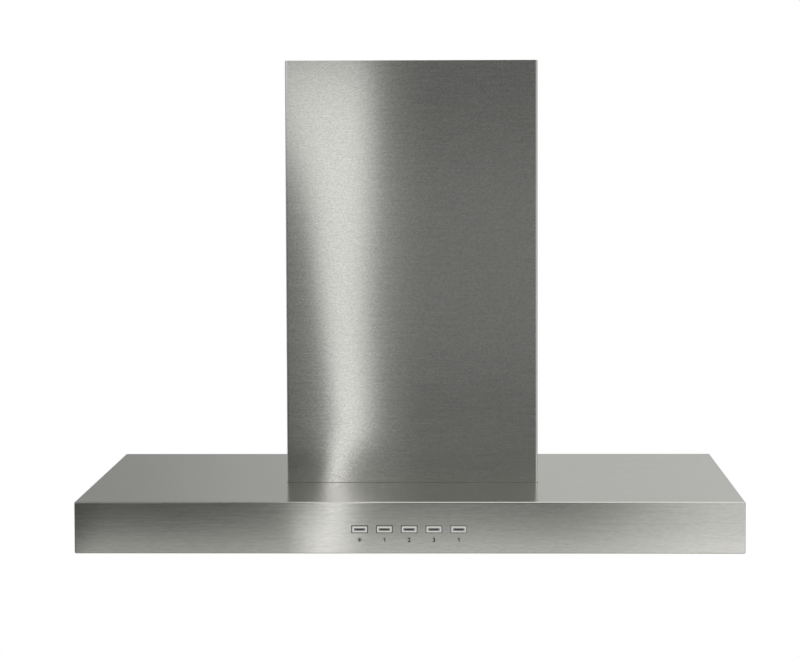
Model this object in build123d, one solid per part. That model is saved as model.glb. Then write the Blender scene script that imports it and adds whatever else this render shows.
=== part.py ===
from build123d import *
import math
import os

# A wall-hung chimney range hood, in millimetres.
# The origin is the middle of the hood's footprint, on the plane of the canopy's bottom rim.
# The front faces -Y, the wall is the plane y = wall_y, and +Z is up.
# Small fasteners are their heads alone, without threads or shanks.

# Canopy: one folded sheet with in-turned lips, open at the back
canopy_width = 900.0
overall_depth = 500.0        # from the wall to the faces of the buttons
canopy_height = 70.0
canopy_sheet = 1.0
canopy_bend = 1.2            # inside radius of the folds
lip_width = 18.0
back_flange = 15.0

# Push buttons in the canopy's front
button_pitch = 33.2
button_level = 33.2          # height of the row above the rim
cap_width = 20.0
cap_height = 8.0
cap_corner = 1.0
cap_edge = 0.4
cap_gap = 0.7                # round the cap, in its cut-out
button_proud = 2.0
button_travel = 1.8
groove_height = 3.4          # the shallow groove across each cap
groove_depth = 0.5
insert_width = 12.2          # the dark insert in the groove
insert_height = 2.0
insert_depth = 1.0
collar_step = 1.4            # how far the collar behind the sheet stands out round the cap
collar_depth = 1.5
stem_width = 12.0
stem_height = 5.0
stem_length = 10.0

# Switch block behind the buttons
block_margin = 19.0          # beyond the outer buttons' centres
block_depth = 22.0
block_height = 22.0
pocket_gap = 0.4

# Recessed panel under the canopy, with a port for each filter
panel_sheet = 0.8
recess_depth = 14.0
port_collar = 11.0           # upturned edge round each port
port_setback = 20.0          # from the recess's rear wall to the ports
port_margin = 24.5           # from the recess's side walls to the ports
port_bridge = 10.0           # between two ports
port_lamp_gap = 27.0         # from the lamps to the ports

# Baffle filters, sized by their ports
filter_gap = 1.5             # between a filter and its port
filter_thickness = 12.0
filter_sheet = 0.8
filter_border = 14.0
baffle_pitch = 30.0
baffle_width = 21.0
baffle_height = 6.5
baffle_lap = 1.0             # least distance from the outer baffles to the border's edge
tab_width = 20.0
tab_reach = 6.0
tab_thickness = 1.2
tab_spread = 80.0            # from the filter's middle to each tab
clip_width = 14.0
clip_span = 8.0
clip_thickness = 0.4
clip_gap = 0.3               # between a clip's crest and the port's edge
clip_spread = 70.0
knob_base_radius = 5.0
knob_waist_radius = 3.5
knob_head_radius = 8.0
knob_height = 10.0
knob_neck = 4.0              # height of the cone under its foot
knob_head = 3.5              # height of its rim
knob_edge = 1.5

# Lamps in front of the filters
lamp_inset = 162.0           # from the recess's side walls
lamp_setback = 60.0          # from the recess's front wall
lamp_barrel_radius = 30.0
lamp_barrel_wall = 3.0
lamp_barrel_height = 10.0
lamp_flange_width = 6.0
lamp_flange = 1.6
lamp_lip = 2.0
lens_thickness = 2.0
can_height = 24.0
can_wall = 1.5
bulb_radius = 9.0
bulb_taper = 5.0
bulb_length = 20.0
bulb_holder_radius = 6.5
bulb_holder = 8.0
lug_reach = 2.5
lug_height = 2.0
lug_width = 8.0

# Fan: a double-inlet wheel in a scroll, the motor in its left inlet
wheel_radius = 95.0
wheel_width = 130.0
blade_depth = 15.0           # from the wheel's inner radius to its rim
blade_count = 30
blade_inset = 0.5            # of the blades' edges inside the end rings
blade_lean = 5.0             # degrees between a blade's root and tip
blade_curve = 20.0           # radius of a blade's bow
blade_thickness = 0.9
wheel_ring = 3.0
wheel_disc = 1.5
hub_radius = 12.0
hub_length = 24.0
tongue_clearance = 13.0
scroll_step = 14.0           # growth of the scroll's radius in each quarter turn
tongue_radius = 8.0
tongue_wall = 46.0
scroll_sheet = 1.0
scroll_rim = 5.0
scroll_gap = 13.0            # from the wheel's ends to the scroll's sides
scroll_flange = 10.0
bell_radius = 10.0
throat_gap = 3.0             # from the bell's throat to the blades' roots
shaft_radius = 4.0
shaft_gap = 0.05
motor_radius = 44.0
motor_edge = 5.5
motor_inset = 5.0            # the motor's outer end beyond the scroll's side
motor_hub_gap = 2.0
motor_bore = 6.0
bearing_radius = 11.0
bearing_width = 7.0
mount_plate = 2.0
mount_ring = 14.0
mount_arm = 12.0
mount_angles = [90.0, 210.0, 330.0]
grommet_radius = 5.0

# Casing round the fan, on the canopy's top
casing_sheet = 1.0
casing_bend = 1.0
casing_floor_gap = 9.0       # the scroll above the canopy
casing_back_gap = 12.0
casing_front_gap = 6.0
casing_side_space = 60.0     # in front of each inlet
casing_flange = 10.0
casing_ledge = 10.0          # the canopy's top inside the casing's walls

# Outlet collar and its two damper flaps
spigot_step = 1.5            # from the scroll's outlet to the spigot's bore
spigot_wall = 2.0
spigot_height = 55.0
collar_rim = 11.5            # the plate beyond the spigot
collar_thickness = 3.0
ledge_height = 12.0          # of the flaps' seat above the plate
ledge_width = 3.5
ledge_thickness = 3.0
bridge_width = 18.0
bridge_thickness = 3.0
flap_spread = 5.0            # from the middle to each flap's rod
flap_rod_radius = 2.0
flap_rod_gap = 0.08
flap_thickness = 1.5
flap_gap = 1.2               # from the flaps' rim to the spigot
post_depth = 6.0
post_cover = 2.5

# Chimney round the casing: a fixed lower cover and a sliding upper one
chimney_rise = 595.0         # above the canopy
chimney_sheet = 0.8
chimney_bend = 2.0
chimney_return = 15.0
chimney_tab = 10.0           # in-turned tabs on the canopy's top
cover_front_gap = 1.2        # from the tabs to the casing's flange
cover_side_gap = 16.3
slide_gap = 1.2
slide_gap_bottom = 8.0       # under the upper cover, over the canopy
slide_gap_top = 2.0          # the upper cover's top edge under the lower one's
glide_width = 20.0
glide_length = 40.0
glide_inset = 30.0
vent_count = 6
vent_length = 90.0
vent_height = 4.0
vent_pitch = 9.0
vent_drop = 45.0             # from the upper cover's top to the first slot
side_tab_spread = 60.0       # from the middle of the chimney's depth to its side tabs
front_tab_half = 110.0
side_tab_half = 14.0

# Bracket that holds the top of the chimney to the wall
bracket_sheet = 1.5
bracket_height = 25.0
bracket_drop = 12.0          # under the upper cover's top edge
bracket_step = 6.0           # from the cover's returns to the bracket's step
bracket_ear = 24.0
bracket_hole_spacing = 240.0
bracket_hole_radius = 2.75

# Electrical pieces
junction_length = 100.0
junction_width = 48.0
junction_height = 34.0
junction_wall = 2.0
junction_right = 5.0         # its right end, from the middle of the hood
gland_bore = 4.5
gland_neck = 8.0
gland_neck_length = 8.0
gland_across = 22.0
gland_nut = 6.0
gland_height = 18.0
capacitor_radius = 16.0
capacitor_height = 60.0
capacitor_x = 60.0
shelf_gap = 20.0             # from the collar's plate to the pieces in front of it
transformer_length = 100.0
transformer_width = 50.0
transformer_height = 30.0
transformer_foot = 8.0
transformer_gap = 10.0       # from the lamp beside it

# Fixings
wall_hole_radius = 4.25
wall_hole_spacing = 200.0
wall_hole_drop = 35.0        # below the casing's top and the canopy's top
head_across = 7.0
head_height = 2.5
head_inset = 5.0             # from a plate's edge to its screws
casing_screw_inset = 40.0
hole_gap = 0.2
seat_gap = 0.3               # between pieces that lie close and don't touch
past = 5.0                   # how far a cutting shape runs past what it cuts

# Places worked out from the sizes above
wall_y = overall_depth / 2
front_y = button_proud - wall_y
half_canopy = canopy_width / 2
canopy_in_x = half_canopy - canopy_sheet
canopy_in_y = front_y + canopy_sheet
canopy_ceiling = canopy_height - canopy_sheet
mouth_x = half_canopy - lip_width
mouth_front = front_y + lip_width
mouth_back = wall_y - lip_width

button_names = ["light", "speed_1", "speed_2", "speed_3", "power"]
button_xs = [(i - (len(button_names) - 1) / 2) * button_pitch for i in range(len(button_names))]
button_face = front_y - button_proud
collar_front = canopy_in_y + seat_gap
collar_back = collar_front + collar_depth
stem_back = collar_back + stem_length
block_half = button_xs[-1] + block_margin

lamp_x = mouth_x - lamp_inset
lamp_y = mouth_front + lamp_setback
lamp_flange_radius = lamp_barrel_radius + lamp_flange_width
lamp_bore = lamp_barrel_radius - lamp_barrel_wall
can_bottom = recess_depth + lamp_barrel_height
can_top = can_bottom + can_height

filter_names = ["left", "centre", "right"]
pan_top = recess_depth + panel_sheet
pan_half = mouth_x + panel_sheet
pan_front = mouth_front - panel_sheet
pan_back = mouth_back + panel_sheet
port_half = (mouth_x - port_margin - port_bridge * (len(filter_names) - 1) / 2) / len(filter_names)
port_front = lamp_y + lamp_flange_radius + port_lamp_gap
port_back = mouth_back - port_setback
port_pitch = 2 * port_half + port_bridge
filter_xs = [(i - (len(filter_names) - 1) / 2) * port_pitch for i in range(len(filter_names))]
filter_half = port_half - filter_gap
filter_front = port_front + filter_gap
filter_back = port_back - filter_gap
filter_top = recess_depth + filter_thickness
hinge_z = pan_top + seat_gap

scroll_half = wheel_width / 2 + scroll_gap
scroll_start = wheel_radius + tongue_clearance
scroll_left = scroll_start + scroll_step / 2
scroll_bottom = scroll_start + scroll_step * 3 / 2
scroll_right = scroll_start + scroll_step * 5 / 2
scroll_edge = scroll_sheet + scroll_rim
scroll_outer = -scroll_half - scroll_sheet
outlet_rise = scroll_start - scroll_step / 2 + tongue_radius + tongue_wall
outlet_left = tongue_radius - scroll_step / 2
outlet_radius = (scroll_right - outlet_left) / 2
wheel_y = wall_y - casing_sheet - casing_back_gap - scroll_edge - scroll_right
wheel_z = canopy_height + casing_floor_gap + scroll_edge + scroll_bottom
outlet_y = wheel_y + (scroll_right + outlet_left) / 2
throat_radius = wheel_radius - blade_depth - throat_gap - scroll_sheet
motor_left = scroll_outer - motor_inset
motor_right = -hub_length / 2 - motor_hub_gap
mount_radius = throat_radius + bell_radius + grommet_radius + scroll_sheet

casing_half = casing_sheet + casing_side_space - scroll_outer
casing_front = wheel_y - scroll_left - scroll_edge - casing_front_gap - casing_sheet
casing_ceiling = wheel_z + outlet_rise
casing_top = casing_ceiling + casing_sheet

spigot_bore = outlet_radius + spigot_step
spigot_radius = spigot_bore + spigot_wall
spigot_top = casing_top + spigot_height
collar_half = spigot_radius + collar_rim
plate_top = casing_top + collar_thickness
ledge_top = plate_top + ledge_height
flap_z = ledge_top + seat_gap + flap_thickness / 2
flap_radius = spigot_bore - flap_gap
shelf_y = outlet_y - collar_half - shelf_gap
junction_left = junction_right - junction_length
junction_front = shelf_y - junction_width
junction_top = casing_top + junction_height
gland_x = junction_left + junction_width / 2
gland_y = shelf_y - junction_width / 2
gland_seat = junction_top + junction_wall
transformer_right = lamp_x - lamp_flange_radius - transformer_gap

half_chimney = casing_half + casing_flange + cover_side_gap + chimney_tab + chimney_sheet
chimney_front = casing_front - casing_flange - cover_front_gap - chimney_tab - chimney_sheet
chimney_top = canopy_height + chimney_rise
chimney_in_x = half_chimney - chimney_sheet
chimney_in_y = chimney_front + chimney_sheet
tab_top = canopy_height + chimney_sheet
side_tab_ys = [(chimney_front + wall_y) / 2 + side * side_tab_spread for side in (-1, 1)]
upper_half = chimney_in_x - slide_gap
upper_front = chimney_in_y + slide_gap
upper_back = wall_y - chimney_sheet - slide_gap
upper_bottom = canopy_height + slide_gap_bottom
upper_top = chimney_top - slide_gap_top
bracket_top = upper_top - bracket_drop
bracket_z = bracket_top - bracket_height / 2
wall_hole_high = casing_top - wall_hole_drop
wall_hole_low = canopy_height - wall_hole_drop


def block(x0, x1, y0, y1, z0, z1):
    """A box between two corners."""
    middle = Pos((x0 + x1) / 2, (y0 + y1) / 2, (z0 + z1) / 2)
    return middle * Box(x1 - x0, y1 - y0, z1 - z0)


def bar(radius, start, end):
    """A cylinder between two points."""
    run = Vector(*end) - Vector(*start)
    return extrude(Plane(start, z_dir=run) * Circle(radius), run.length)


def upright(radius, x, y, z0, z1):
    """A vertical cylinder."""
    return bar(radius, (x, y, z0), (x, y, z1))


def hex_head(seat, direction):
    """A screw's hexagonal head, on its seat."""
    section = Plane(seat, z_dir=direction) * RegularPolygon(head_across / 2, 6, major_radius=False)
    return extrude(section, head_height)


def plug(width, height, corner, x, y0, y1):
    """A bar along Y at the buttons' level, with a rounded rectangle for its section."""
    plane = Plane((x, y0, button_level), x_dir=(1, 0, 0), z_dir=(0, 1, 0))
    return extrude(plane * RectangleRounded(width, height, corner), y1 - y0)


def turned(points, x, y):
    """A turned piece on a vertical axis, from its outline as (radius, height) points."""
    outline = make_face(Polyline(*points, close=True))
    return Pos(x, y, 0) * revolve(Plane.XZ * outline, axis=Axis.Z)


def group(shapes):
    """Separate solids that share one node."""
    return Compound([solid for shape in shapes for solid in shape.solids()])


def folded_tube(half, front, back, bottom, top, sheet, bend):
    """A sheet folded round a box, open at both ends."""
    outer = block(-half, half, front, back, bottom, top)
    outer = fillet(outer.edges().filter_by(Axis.Z), bend + sheet)
    inner = block(sheet - half, half - sheet, front + sheet, back - sheet, bottom - past, top + past)
    return outer - fillet(inner.edges().filter_by(Axis.Z), bend)


def chimney_wrap(half, front, back, bottom, top):
    """A chimney cover: three sides and a return along each rear edge."""
    cover = folded_tube(half, front, back, bottom, top, chimney_sheet, chimney_bend)
    gap = half - chimney_return
    return cover - block(-gap, gap, back - chimney_sheet - past, back + past, bottom - past, top + past)


# ---- canopy ----
def canopy_shell():
    outer = block(-half_canopy, half_canopy, front_y, wall_y, 0, canopy_height)
    front_edges = [edge for edge in outer.edges() if edge.center().Y < wall_y - past]
    outer = fillet(front_edges, canopy_bend + canopy_sheet)
    inner = block(-canopy_in_x, canopy_in_x, canopy_in_y, wall_y + past, canopy_sheet, canopy_ceiling)
    inner_edges = [edge for edge in inner.edges() if edge.center().Y < wall_y]
    shell = outer - fillet(inner_edges, canopy_bend)
    shell -= block(-mouth_x, mouth_x, mouth_front, wall_y + past, -past, canopy_bend)
    for x in button_xs:
        width = cap_width + 2 * cap_gap
        height = cap_height + 2 * cap_gap
        shell -= plug(width, height, cap_corner + cap_gap, x, front_y - past, canopy_in_y + past)
    half = casing_half - casing_ledge
    front = casing_front + casing_ledge
    back = wall_y - back_flange - seat_gap
    return shell - block(-half, half, front, back, canopy_ceiling - past, canopy_height + past)


def canopy_back():
    half = canopy_in_x - canopy_bend
    foot_half = mouth_x - seat_gap
    back = block(-half, half, wall_y - canopy_sheet, wall_y, canopy_sheet, canopy_ceiling)
    low = canopy_ceiling - canopy_sheet
    back += block(-half, half, wall_y - back_flange, wall_y, low, canopy_ceiling)
    back += block(-foot_half, foot_half, mouth_back, wall_y, 0, canopy_sheet)
    for x in (-wall_hole_spacing / 2, wall_hole_spacing / 2):
        start = (x, wall_y - past, wall_hole_low)
        back -= bar(wall_hole_radius, start, (x, wall_y + past, wall_hole_low))
    return back


# ---- recessed panel ----
def underside_rim():
    """A flange on the canopy's lips and a wall round the recess."""
    half = canopy_in_x - canopy_bend
    front = canopy_in_y + canopy_bend
    back = wall_y - canopy_sheet - seat_gap
    rim = block(-half, half, front, back, canopy_sheet, canopy_sheet + panel_sheet)
    rim += block(-pan_half, pan_half, pan_front, pan_back, canopy_sheet, recess_depth)
    return rim - block(-mouth_x, mouth_x, mouth_front, mouth_back, 0, recess_depth + past)


def filter_pan():
    """The sheet on the rim, with an upturned edge round each port and a hole for each lamp."""
    pan = block(-pan_half, pan_half, pan_front, pan_back, recess_depth, pan_top)
    rim = port_half + panel_sheet
    front = port_front - panel_sheet
    back = port_back + panel_sheet
    top = pan_top + port_collar
    notch = tab_width / 2 + filter_gap
    for x in filter_xs:
        pan += block(x - rim, x + rim, front, back, recess_depth, top)
        pan -= block(x - port_half, x + port_half, port_front, port_back, 0, top + past)
        for tab_x in (x - tab_spread, x + tab_spread):
            left = tab_x - notch
            right = tab_x + notch
            pan -= block(left, right, port_back - past, port_back + past, pan_top, top + past)
    for x in (-lamp_x, lamp_x):
        pan -= upright(lamp_barrel_radius + seat_gap, x, lamp_y, 0, pan_top + past)
    return pan


# ---- filters ----
def filter_frame(x):
    """A channel section folded round the baffles, with two tabs behind that rest on the panel."""
    frame = block(x - filter_half, x + filter_half, filter_front, filter_back, recess_depth, filter_top)
    inside = filter_half - filter_sheet
    front = filter_front + filter_sheet
    back = filter_back - filter_sheet
    low = recess_depth + filter_sheet
    frame -= block(x - inside, x + inside, front, back, low, filter_top - filter_sheet)
    sight = filter_half - filter_border
    front = filter_front + filter_border
    back = filter_back - filter_border
    frame -= block(x - sight, x + sight, front, back, 0, filter_top + past)
    half = tab_width / 2
    start = filter_back - filter_sheet
    end = port_back + tab_reach
    for tab_x in (x - tab_spread, x + tab_spread):
        frame += block(tab_x - half, tab_x + half, start, end, hinge_z, hinge_z + tab_thickness)
    return frame


def baffle(x):
    """A folded channel along the filter, open upwards."""
    front = filter_front + filter_sheet + seat_gap
    back = filter_back - filter_sheet - seat_gap
    low = recess_depth + filter_sheet
    floor = low + filter_sheet
    half = baffle_width / 2
    inside = half - filter_sheet
    channel = block(x - half, x + half, front, back, low, low + baffle_height)
    return channel - block(x - inside, x + inside, front - past, back + past, floor, filter_top)


def filter_baffles(x):
    """A lower row of channels, and an upper row turned over above the gaps between them."""
    room = 2 * (filter_half - filter_border - baffle_lap) - baffle_width
    count = int(room / baffle_pitch) + 1
    lower = [baffle(x + (i - (count - 1) / 2) * baffle_pitch) for i in range(count)]
    middle = Plane.XY.offset((recess_depth + filter_top) / 2)
    upper = [Pos(baffle_pitch / 2, 0, 0) * channel.mirror(middle) for channel in lower[:-1]]
    return group(lower + upper)


def filter_clips(x):
    """Two bowed leaf springs on the filter's front edge."""
    reach = filter_gap - clip_gap
    half = clip_span / 2
    foot = half - 2 * clip_thickness
    outer = ThreePointArc((0, -half), (-reach, 0), (0, half))
    inner = ThreePointArc((0, -foot), (clip_thickness - reach, 0), (0, foot))
    section = make_face([outer, inner, Line((0, -half), (0, -foot)), Line((0, foot), (0, half))])
    middle = (recess_depth + filter_top) / 2
    starts = [x + side * clip_spread - clip_width / 2 for side in (-1, 1)]
    planes = [Plane((start, filter_front, middle), x_dir=(0, 1, 0), z_dir=(1, 0, 0)) for start in starts]
    return group([extrude(plane * section, clip_width) for plane in planes])


def filter_knob(x):
    low = recess_depth - knob_height
    outline = [
        (0, recess_depth),
        (knob_base_radius, recess_depth),
        (knob_waist_radius, recess_depth - knob_neck),
        (knob_head_radius, low + knob_head),
        (knob_head_radius, low + knob_edge),
        (knob_head_radius - knob_edge, low),
        (0, low),
    ]
    return turned(outline, x, filter_front + filter_border / 2)


# ---- lamps ----
def lamp_bezel(x):
    """A flange under the panel and a barrel through it, with a lug at each side on the panel's top."""
    low = recess_depth - lamp_flange
    outline = [
        (lamp_bore - lamp_lip, low),
        (lamp_flange_radius - lamp_flange / 2, low),
        (lamp_flange_radius, recess_depth),
        (lamp_barrel_radius, recess_depth),
        (lamp_barrel_radius, can_bottom),
        (lamp_bore, can_bottom),
        (lamp_bore, recess_depth),
        (lamp_bore - lamp_lip, recess_depth),
    ]
    reach = lamp_barrel_radius + lug_reach
    front = lamp_y - lug_width / 2
    lugs = block(x - reach, x + reach, front, front + lug_width, hinge_z, hinge_z + lug_height)
    return turned(outline, x, lamp_y) + (lugs - upright(lamp_bore, x, lamp_y, 0, can_bottom))


def lamp_lens(x):
    return upright(lamp_bore - seat_gap, x, lamp_y, recess_depth, recess_depth + lens_thickness)


def lamp_can(x):
    outer = lamp_barrel_radius - (lamp_barrel_wall - can_wall) / 2
    can = upright(outer, x, lamp_y, can_bottom, can_top)
    return can - upright(outer - can_wall, x, lamp_y, 0, can_top - can_wall)


def lamp_bulb(x):
    """A small lamp that hangs from its holder in the can's roof."""
    top = can_top - can_wall
    low = top - bulb_length
    outline = [
        (0, low),
        (bulb_radius - bulb_taper, low),
        (bulb_radius, low + bulb_taper),
        (bulb_radius, top - bulb_holder),
        (bulb_holder_radius, top - bulb_holder),
        (bulb_holder_radius, top),
        (0, top),
    ]
    return turned(outline, x, lamp_y)


# ---- switches and buttons ----
def switch_block():
    low = button_level - block_height / 2
    body = block(-block_half, block_half, canopy_in_y, canopy_in_y + block_depth, low, low + block_height)
    collar_x = cap_width / 2 + collar_step + pocket_gap
    collar_z = cap_height / 2 + collar_step + pocket_gap
    stem_x = stem_width / 2 + pocket_gap
    stem_z = stem_height / 2 + pocket_gap
    for x in button_xs:
        for half_x, half_z, reach in ((collar_x, collar_z, collar_back), (stem_x, stem_z, stem_back)):
            end = reach + button_travel + pocket_gap
            low = button_level - half_z
            body -= block(x - half_x, x + half_x, canopy_in_y - past, end, low, low + 2 * half_z)
    return body


def switch_nuts():
    """The nuts on the canopy's weld studs, behind the switch block."""
    back = canopy_in_y + block_depth
    x = block_half - head_across
    return group([hex_head((side * x, back, button_level), (0, 1, 0)) for side in (-1, 1)])


def button(x):
    """A grooved cap, a collar behind the sheet that keeps it in, and a stem to its switch."""
    cap = plug(cap_width, cap_height, cap_corner, x, button_face, collar_back)
    cap = chamfer(cap.edges().group_by(Axis.Y)[0], cap_edge)
    low = button_level - groove_height / 2
    floor = button_face + groove_depth
    cap -= block(x - cap_width, x + cap_width, button_face - past, floor, low, low + groove_height)
    cap -= button_insert(x)
    half = cap_width / 2 + collar_step
    low = button_level - cap_height / 2 - collar_step
    collar = block(x - half, x + half, collar_front, collar_back, low, 2 * button_level - low)
    half = stem_width / 2
    low = button_level - stem_height / 2
    return cap + collar + block(x - half, x + half, collar_back, stem_back, low, low + stem_height)


def button_insert(x):
    floor = button_face + groove_depth
    half = insert_width / 2
    low = button_level - insert_height / 2
    return block(x - half, x + half, floor, floor + insert_depth, low, low + insert_height)


# ---- fan ----
def fan_plane(x):
    """The plane across the wheel's axis at x, with Y and Z for its own two axes."""
    return Plane((x, wheel_y, wheel_z), x_dir=(0, 1, 0), z_dir=(1, 0, 0))


def along_fan(radius, x0, x1):
    """A cylinder on the wheel's axis."""
    return bar(radius, (x0, wheel_y, wheel_z), (x1, wheel_y, wheel_z))


def scroll_region():
    """The scroll's inside: quarter arcs of growing radius round the wheel, then a straight outlet."""
    shift = scroll_step / 2
    tongue_top = scroll_start - shift + tongue_radius
    return make_face(
        [
            Line((outlet_left, outlet_rise), (outlet_left, tongue_top)),
            CenterArc((-shift, tongue_top), tongue_radius, 270, 90),
            CenterArc((-shift, -shift), scroll_start, 90, 90),
            CenterArc((shift, -shift), scroll_start + scroll_step, 180, 90),
            CenterArc((shift, shift), scroll_start + 2 * scroll_step, 270, 90),
            Line((scroll_right, shift), (scroll_right, outlet_rise)),
            Line((scroll_right, outlet_rise), (outlet_left, outlet_rise)),
        ]
    )


def scroll_above():
    """What lies over the outlet's mouth, in the fan's plane."""
    return Pos(0, outlet_rise + scroll_right) * Rectangle(4 * scroll_right, 2 * scroll_right)


def scroll_wrap():
    section = offset(scroll_region(), scroll_sheet) - scroll_region() - scroll_above()
    return extrude(fan_plane(-scroll_half) * section, 2 * scroll_half)


def scroll_side():
    """The right-hand side plate, with its bellmouth turned in towards the wheel."""
    bell_edge = throat_radius + bell_radius
    face = offset(scroll_region(), scroll_edge) - scroll_above() - Circle(bell_edge)
    plate = extrude(fan_plane(scroll_half) * face, scroll_sheet)
    centre = (scroll_half + scroll_sheet - bell_radius, bell_edge)
    bell = make_face(
        [
            CenterArc(centre, bell_radius, 270, 90),
            CenterArc(centre, bell_radius - scroll_sheet, 270, 90),
            Line((centre[0], throat_radius), (centre[0], throat_radius + scroll_sheet)),
            Line((scroll_half, bell_edge), (scroll_half + scroll_sheet, bell_edge)),
        ]
    )
    plate += Pos(0, wheel_y, wheel_z) * revolve(bell, axis=Axis.X)
    front = outlet_y - outlet_radius
    back = outlet_y + outlet_radius
    end = scroll_half + scroll_sheet + scroll_flange
    return plate + block(scroll_half, end, front, back, casing_ceiling - scroll_sheet, casing_ceiling)


def blade():
    """One forward-curved blade's section, as a bowed strip from the inner radius to the rim."""
    root = wheel_radius - blade_depth + blade_inset
    tip = wheel_radius - blade_inset
    lean = math.radians(blade_lean)
    front = RadiusArc((root, 0), (tip * math.cos(lean), tip * math.sin(lean)), blade_curve)
    back = front.rotate(Axis.Z, -math.degrees(blade_thickness / wheel_radius))
    return make_face([front, back, Line(front @ 0, back @ 0), Line(front @ 1, back @ 1)])


def impeller():
    """Blades between two end rings, carried by a disc and a hub in the middle."""
    half = wheel_width / 2
    blades = Sketch() + PolarLocations(0, blade_count) * blade()
    ring = Circle(wheel_radius) - Circle(wheel_radius - blade_depth)
    wheel = extrude(fan_plane(-half) * blades, wheel_width)
    wheel += extrude(fan_plane(-half) * ring, wheel_ring)
    wheel += extrude(fan_plane(half - wheel_ring) * ring, wheel_ring)
    wheel += along_fan(wheel_radius, -wheel_disc / 2, wheel_disc / 2)
    wheel += along_fan(hub_radius, -hub_length / 2, hub_length / 2)
    return wheel - along_fan(shaft_radius, -half, half)


def motor_shaft():
    return along_fan(shaft_radius, motor_left, hub_length / 2)


def motor_body():
    body = along_fan(motor_radius, motor_left, motor_right)
    ends = body.edges().group_by(Axis.X)
    body = chamfer(ends[0] + ends[-1], motor_edge)
    body -= along_fan(motor_bore, motor_left - past, motor_right + past)
    body -= along_fan(bearing_radius, motor_left - past, motor_left + bearing_width)
    return body - along_fan(bearing_radius, motor_right - bearing_width, motor_right + past)


def motor_bearings():
    bore = shaft_radius + shaft_gap
    starts = (motor_left, motor_right - bearing_width)
    races = [along_fan(bearing_radius, start, start + bearing_width) for start in starts]
    return group([race - along_fan(bore, motor_left - past, motor_right + past) for race in races])


def motor_bracket():
    """A ring on the motor's end with three arms to the scroll's left side."""
    outer = motor_radius - motor_edge
    section = Circle(outer)
    for angle in mount_angles:
        arm = Pos(mount_radius / 2, 0) * Rectangle(mount_radius, mount_arm)
        arm += Pos(mount_radius, 0) * Circle(mount_arm / 2)
        section += Rot(0, 0, angle) * arm
    section -= Circle(outer - mount_ring)
    return extrude(fan_plane(motor_left - mount_plate) * section, mount_plate)


def motor_grommets():
    """Rubber bushes between the bracket's arms and the scroll's left side."""
    bushes = []
    for angle in mount_angles:
        y = wheel_y + mount_radius * math.cos(math.radians(angle))
        z = wheel_z + mount_radius * math.sin(math.radians(angle))
        bushes.append(bar(grommet_radius, (motor_left, y, z), (scroll_outer, y, z)))
    return group(bushes)


# ---- casing round the fan ----
def motor_casing():
    half = casing_half
    casing = block(-half, half, casing_front, wall_y, canopy_height, casing_top)
    casing = fillet(casing.edges().filter_by(Axis.Z), casing_bend + casing_sheet)
    inside = half - casing_sheet
    front = casing_front + casing_sheet
    hollow = block(-inside, inside, front, wall_y - casing_sheet, canopy_height - past, casing_ceiling)
    casing -= fillet(hollow.edges().filter_by(Axis.Z), casing_bend)
    flange_half = half + casing_flange
    flange_front = casing_front - casing_flange
    flange_back = wall_y - back_flange
    flange_top = canopy_height + casing_sheet
    flange = block(-flange_half, flange_half, flange_front, flange_back, canopy_height, flange_top)
    inner = half - casing_sheet / 2
    front = casing_front + casing_sheet / 2
    casing += flange - block(-inner, inner, front, wall_y, 0, flange_top + past)
    casing -= upright(outlet_radius, 0, outlet_y, casing_ceiling - past, casing_top + past)
    for x in (-wall_hole_spacing / 2, wall_hole_spacing / 2):
        start = (x, wall_y - past, wall_hole_high)
        casing -= bar(wall_hole_radius, start, (x, wall_y + past, wall_hole_high))
    return casing


def casing_screws():
    """The casing's flange screws and the collar's screws."""
    up = (0, 0, 1)
    side_x = casing_half + casing_flange / 2
    side_ys = (casing_front + casing_screw_inset, wall_y - casing_screw_inset)
    front_x = casing_half - casing_screw_inset
    front = casing_front - casing_flange / 2
    seat = canopy_height + casing_sheet
    places = [(side * side_x, y, seat) for side in (-1, 1) for y in side_ys]
    places += [(side * front_x, front, seat) for side in (-1, 1)]
    reach = collar_half - head_inset
    places += [(side * reach, outlet_y + end * reach, plate_top) for side in (-1, 1) for end in (-1, 1)]
    return group([hex_head(place, up) for place in places])


# ---- outlet collar and flaps ----
def outlet_collar():
    """A plate and a spigot, with a ledge for the flaps and a bridge between two posts for their rods."""
    front = outlet_y - collar_half
    collar = block(-collar_half, collar_half, front, outlet_y + collar_half, casing_top, plate_top)
    collar += upright(spigot_radius, 0, outlet_y, casing_top, spigot_top)
    collar -= upright(spigot_bore, 0, outlet_y, 0, spigot_top + past)
    wall_middle = spigot_bore + spigot_wall / 2
    ledge = upright(wall_middle, 0, outlet_y, ledge_top - ledge_thickness, ledge_top)
    collar += ledge - upright(spigot_bore - ledge_width, 0, outlet_y, 0, spigot_top)
    half = bridge_width / 2
    top = flap_z - flap_rod_radius - seat_gap
    low = top - bridge_thickness
    bridge = block(-half, half, outlet_y - spigot_radius, outlet_y + spigot_radius, low, top)
    post_top = flap_z + flap_rod_radius + post_cover
    posts = block(-half, half, outlet_y - spigot_radius, outlet_y + spigot_radius, low, post_top)
    reach = spigot_bore - post_depth
    posts -= block(-half, half, outlet_y - reach, outlet_y + reach, 0, spigot_top)
    collar += (bridge + posts) & upright(wall_middle, 0, outlet_y, casing_top, spigot_top)
    for x in (-flap_spread, flap_spread):
        start = (x, outlet_y - flap_radius, flap_z)
        collar -= bar(flap_rod_radius + flap_rod_gap, start, (x, outlet_y + flap_radius, flap_z))
    return collar


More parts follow.
